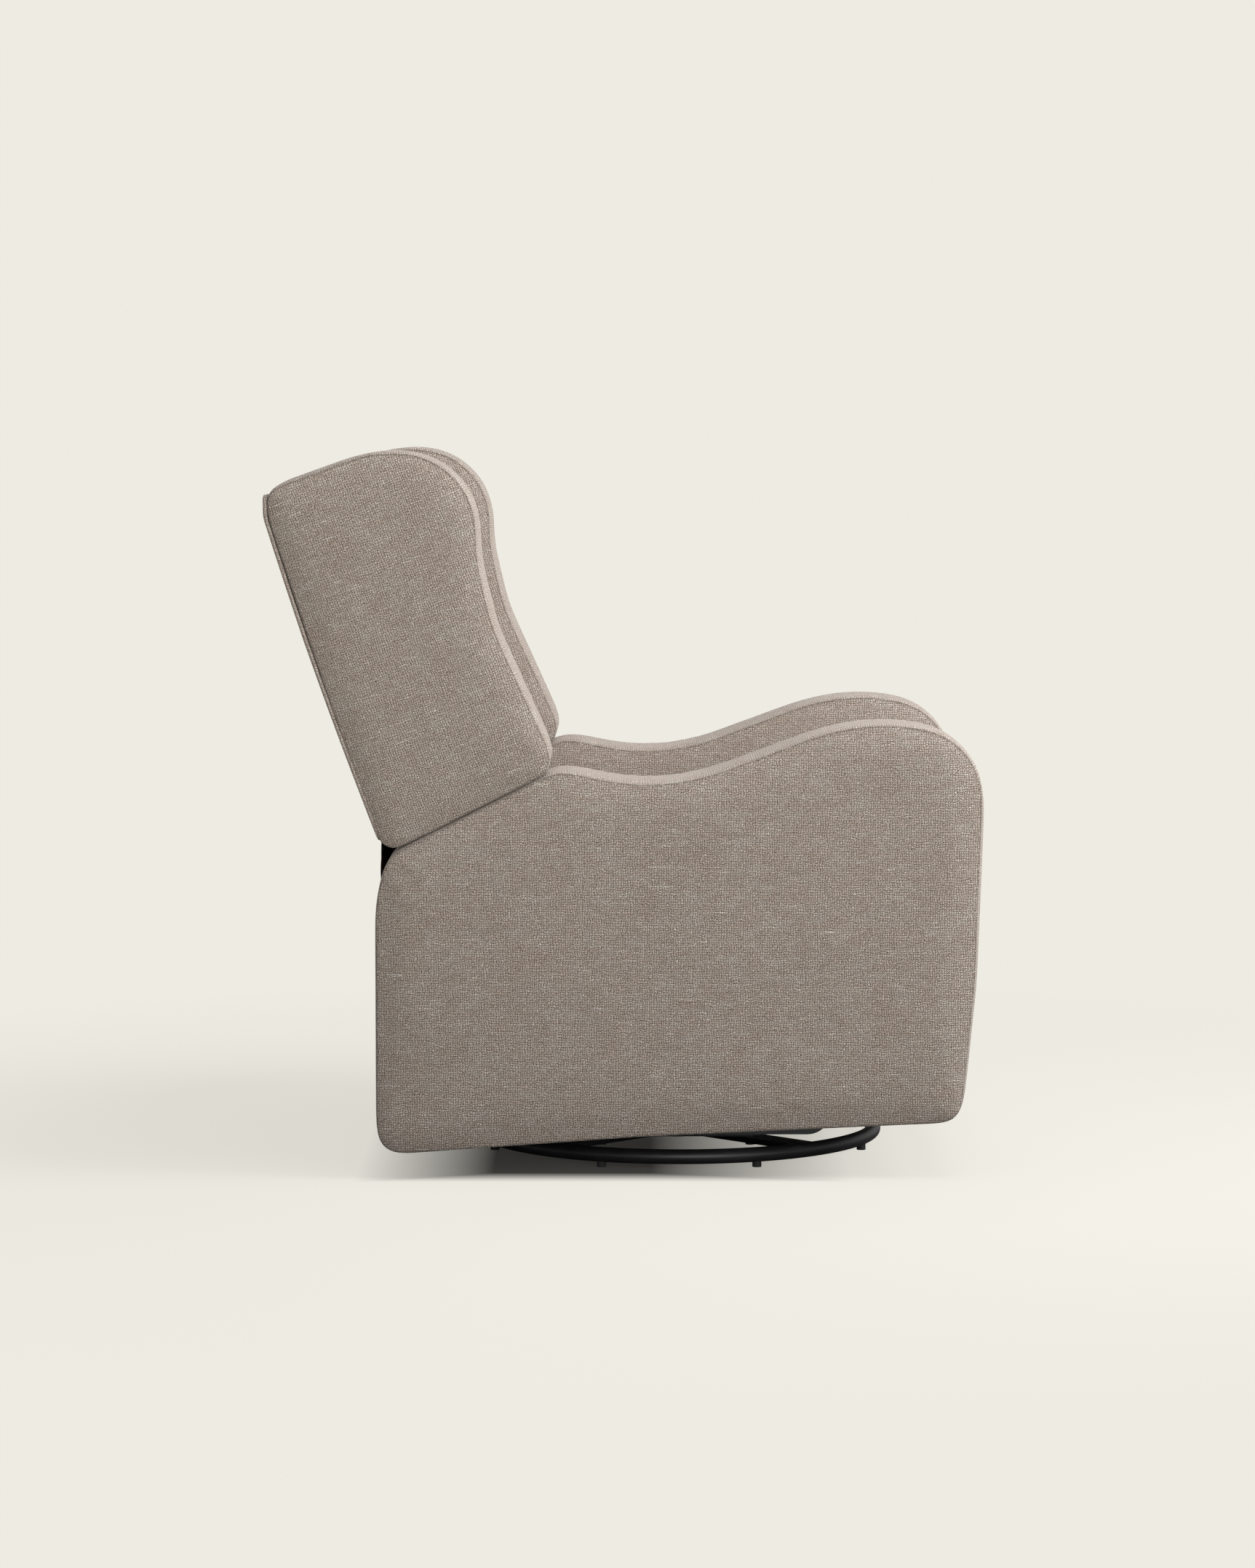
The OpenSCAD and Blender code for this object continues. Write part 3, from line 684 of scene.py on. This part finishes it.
def gusset():
    """Slack fabric from the outer back's lower edge to the rear panel's top."""
    half, belly = 259.5 * MM, 10 * MM
    columns, rows = 53, 15
    start = BACK_WAIST + 5 * MM
    panel_low, panel_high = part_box("rear_panel")
    top = np.array([back_y(start) - 2.5 * MM, start])
    foot = np.array([panel_low[1] + 7 * MM, panel_high[2] + 1.5 * MM])
    run = foot - top
    outward = np.array([-run[1], run[0]]) / np.linalg.norm(run)
    verts, edge = [], []
    for row in range(rows):
        s = row / (rows - 1)
        for column in range(columns):
            x = half * (2 * column / (columns - 1) - 1)
            out = (belly + 2.5 * face_wave(x, 0.6 * s, 9.0)) * math.sin(math.pi * s)
            y, z = top + s * run + out * outward
            verts.append((x, y, z))
            edge.append(min(s, 1 - s) * np.linalg.norm(run))
    faces = [(r * columns + c, (r + 1) * columns + c, (r + 1) * columns + c + 1, r * columns + c + 1)
             for r in range(rows - 1) for c in range(columns - 1)]
    made = make_object("back_gusset", verts, faces)
    # Distances from the two seams, for the painted shade in the seam grooves
    finish_cloth(made, [[(verts[i][0], verts[i][2]) for i in face] for face in faces], edge)
    side = np.array(verts[::columns])
    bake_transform(made)


def strap_line(foot, top, outer):
    """The strap's middle line as (x, z): up beside the arm, bowed inwards near the top, and folded down."""
    fold, tail = 1.8 * MM, 26 * MM
    rise = np.linspace(foot, top - fold, 60)
    lean = np.clip((rise - (top - 70 * MM)) / (50 * MM), 0, 1)
    line = list(zip(outer + 7 * MM * lean * lean * (3 - 2 * lean), rise))
    x, z = line[-1]
    line += [(x + fold * (1 - math.cos(a)), z + fold * math.sin(a)) for a in np.linspace(0, math.pi, 8)[1:]]
    line += [(x + 2 * fold, z - d) for d in np.linspace(0, tail, 9)[1:]]
    return np.array(line)


def release_strap():
    """Pull strap of webbing: flat between cushion and arm, then bowed inwards to a folded end."""
    low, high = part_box("release_tab")
    half_t = 0.75 * MM
    line = strap_line(low[2], high[2], low[0] + half_t)
    tangent = np.gradient(line, axis=0)
    tangent /= np.linalg.norm(tangent, axis=1)[:, None]
    side = np.stack([tangent[:, 1], -tangent[:, 0]], 1) * half_t
    ring = np.vstack([line + side, (line - side)[::-1]])
    centre = np.vstack([line, line[::-1]])
    run = np.concatenate([[0], np.cumsum(np.linalg.norm(np.diff(ring, axis=0), axis=1))])
    n, count = len(ring), len(line)

    # Cross-sections along y, thinner at the two edges, as (y, share of the thickness)
    stations = [(low[1], 0.4), (low[1] + 1 * MM, 1.0), (0.5 * (low[1] + high[1]), 1.0),
                (high[1] - 1 * MM, 1.0), (high[1], 0.4)]
    verts, faces, uvs = [], [], []
    for y, thick in stations:
        verts += [(p[0], y, p[1]) for p in centre + thick * (ring - centre)]
    for k in range(len(stations) - 1):
        here, there = stations[k][0], stations[k + 1][0]
        for i in range(n):
            j = (i + 1) % n
            faces.append((k * n + i, k * n + j, (k + 1) * n + j, (k + 1) * n + i))
            uvs.append([(here, run[i]), (here, run[j]), (there, run[j]), (there, run[i])])
    for base, flip in ((0, False), ((len(stations) - 1) * n, True)):
        for i in range(count - 1):
            face = [base + i, base + n - 1 - i, base + n - 2 - i, base + i + 1]
            faces.append(tuple(reversed(face)) if flip else tuple(face))
            uvs.append([(0, 0)] * 4)
    made = make_object("release_strap", verts, faces)
    finish_cloth(made, uvs, [1.0] * len(verts))
    made.data.materials[0] = materials["webbing"]
    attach(made, "release")
    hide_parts("release_tab")


def paint_nodes():
    """The CAD nodes' own materials, by the slots that the record names."""
    for name, piece in nodes.items():
        piece.data.materials.clear()
        piece.data.materials.append(materials[slot_of[name]])


# ---------------------------------------------------------------- floor, light and camera
def studio_floor():
    """Pale seamless floor: soft shadows near the chair, cast by the lamps and also a painted shadow under the
    chair; the backdrop's own colour further away.
    """
    size = 14
    floor = make_object("floor", [(-size, -size, 0), (size, -size, 0), (size, size, 0), (-size, size, 0)],
                        [(0, 1, 2, 3)])
    s = Shader("floor")
    s.bsdf.inputs["Base Color"].default_value = (0.115, 0.1115, 0.1025, 1)
    s.bsdf.inputs["Roughness"].default_value = 0.9
    s.bsdf.inputs["Specular IOR Level"].default_value = 0.1
    where = s.position()
    x, y = s.split(where)

    # The camera sees the floor glow: hardly under the chair, where its lack is a painted shadow, and fully
    # beside, ahead of and behind it
    beside = s.ramp(s.math("ABSOLUTE", x), 0.32, 0.395, 0.0, 1.0)
    ahead = s.ramp(y, 0.04, -0.24, 0.0, 1.0)
    behind = s.ramp(y, 0.26, 0.45, 0.0, 1.0)
    # 0 in the painted shadow under the chair, 1 on the open floor
    clear = s.math("MAXIMUM", beside, s.math("MAXIMUM", ahead, behind))
    seen = s.node("ShaderNodeLightPath").outputs["Is Camera Ray"]
    glow = s.node("ShaderNodeEmission")
    glow.inputs["Color"].default_value = (*BACKGROUND, 1)
    s.join(s.times(seen, s.ramp(clear, 0.0, 1.0, 0.03, 0.78)), glow.inputs["Strength"])
    lit = s.node("ShaderNodeAddShader")
    s.join(s.bsdf.outputs[0], lit.inputs[0])
    s.join(glow.outputs[0], lit.inputs[1])

    # Further than a metre or so from the chair, only the backdrop's colour is left
    far = s.node("ShaderNodeEmission")
    far.inputs["Color"].default_value = (*BACKGROUND, 1)
    length = s.node("ShaderNodeVectorMath", operation="LENGTH")
    s.join(where, length.inputs[0])
    blend = s.node("ShaderNodeMixShader")
    s.join(s.ramp(length.outputs["Value"], 0.9, 1.9, 0.0, 1.0), blend.inputs[0])
    s.join(lit.outputs[0], blend.inputs[1])
    s.join(far.outputs[0], blend.inputs[2])
    s.join(blend.outputs[0], s.out.inputs["Surface"])
    floor.data.materials.append(s.material)


def studio_world():
    """The backdrop's colour to the camera, and an even soft light to everything else."""
    world = bpy.data.worlds.new("studio")
    bpy.context.scene.world = world
    world.use_nodes = True
    tree = world.node_tree
    tree.nodes.clear()
    out = tree.nodes.new("ShaderNodeOutputWorld")
    shown, lighting = tree.nodes.new("ShaderNodeBackground"), tree.nodes.new("ShaderNodeBackground")
    shown.inputs["Color"].default_value = (*BACKGROUND, 1)
    lighting.inputs["Color"].default_value = (1.0, 0.99, 0.975, 1)
    lighting.inputs["Strength"].default_value = 0.48
    path = tree.nodes.new("ShaderNodeLightPath")
    mix = tree.nodes.new("ShaderNodeMixShader")
    tree.links.new(path.outputs["Is Camera Ray"], mix.inputs[0])
    tree.links.new(lighting.outputs[0], mix.inputs[1])
    tree.links.new(shown.outputs[0], mix.inputs[2])
    tree.links.new(mix.outputs[0], out.inputs["Surface"])


def softbox(name, place, size, power):
    """A round lamp of a given diameter in metres and power in watts, which points at the chair."""
    light = bpy.data.lights.new(name, "AREA")
    light.shape = "DISK"
    light.size = size
    light.energy = power
    holder = bpy.data.objects.new(name, light)
    bpy.context.scene.collection.objects.link(holder)
    holder.location = place
    aim = Vector((0, 0, 0.45)) - Vector(place)
    holder.rotation_euler = aim.to_track_quat("-Z", "Y").to_euler()


def studio():
    bpy.context.scene.view_settings.view_transform = "Standard"
    studio_floor()
    studio_world()
    softbox("key", (-0.9, -3.1, 2.4), 2.0, 165)
    softbox("top", (-0.9, -0.7, 3.3), 1.8, 62)
    softbox("fill", (-4.2, -1.3, 0.9), 3.5, 89)


def camera():
    """Side view from the sitter's right, seen slightly from above."""
    data = bpy.data.cameras.new("camera")
    data.lens = 107.9
    data.sensor_width = 36
    holder = bpy.data.objects.new("camera", data)
    bpy.context.scene.collection.objects.link(holder)
    holder.location = (-6.812, 0.0728, 1.0566)
    look_down = math.radians(4.512)
    holder.rotation_euler = (math.radians(90) - look_down, 0, math.radians(-90))
    bpy.context.scene.camera = holder


arms()
wings()
cushions()
outer_back()
gusset()
release_strap()
paint_nodes()
studio()
camera()
